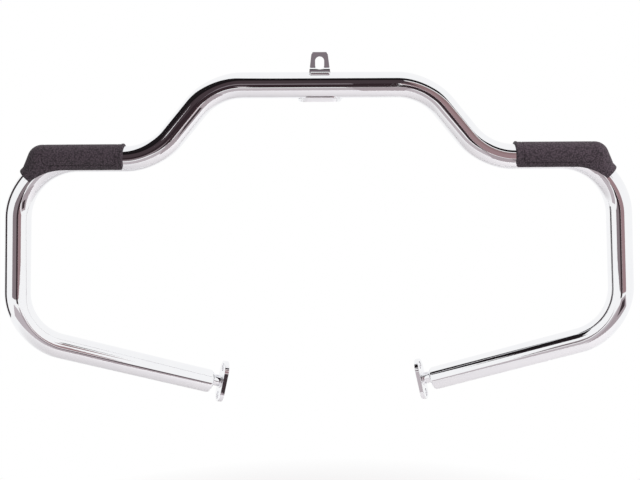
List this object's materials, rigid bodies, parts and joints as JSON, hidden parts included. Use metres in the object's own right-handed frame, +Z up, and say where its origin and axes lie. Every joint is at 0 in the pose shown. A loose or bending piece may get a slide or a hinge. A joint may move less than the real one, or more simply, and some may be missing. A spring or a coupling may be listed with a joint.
{
  "type": "motorcycle engine crash bars",
  "caption": "Chrome-plated bent-tube crash guard that loops out round a motorcycle's engine, with a slotted top tab, bolt-on flanges at its lower ends and rubber foot pads on the shoulders",
  "frame": {"origin": "centre of the slot in the top tab, on the tab's flat rear face, where the bar meets the bike's upper frame bracket", "axes": "+X runs along the crossbar to the right as seen from the front, +Y points back towards the bike, +Z is up; the bar's front faces -Y"},
  "size_m": [0.7934, 0.1502, 0.4732],
  "materials": {
    "chrome": "bright chrome plating on steel",
    "pad_rubber": "matte moulded rubber with a fine pebble grain"
  },
  "bodies": {
    "root": {"main_tube": "chrome", "top_tab": "chrome", "tab_weld_front": "chrome", "tab_weld_rear": "chrome", "saddle": "chrome", "saddle_weld": "chrome", "left_end_cap": "chrome", "right_end_cap": "chrome", "left_neck": "chrome", "right_neck": "chrome", "left_neck_weld": "chrome", "right_neck_weld": "chrome", "left_flange": "chrome", "right_flange": "chrome", "left_flange_weld": "chrome", "right_flange_weld": "chrome", "left_foot_pad": "pad_rubber", "right_foot_pad": "pad_rubber"}
  },
  "joints": []
}
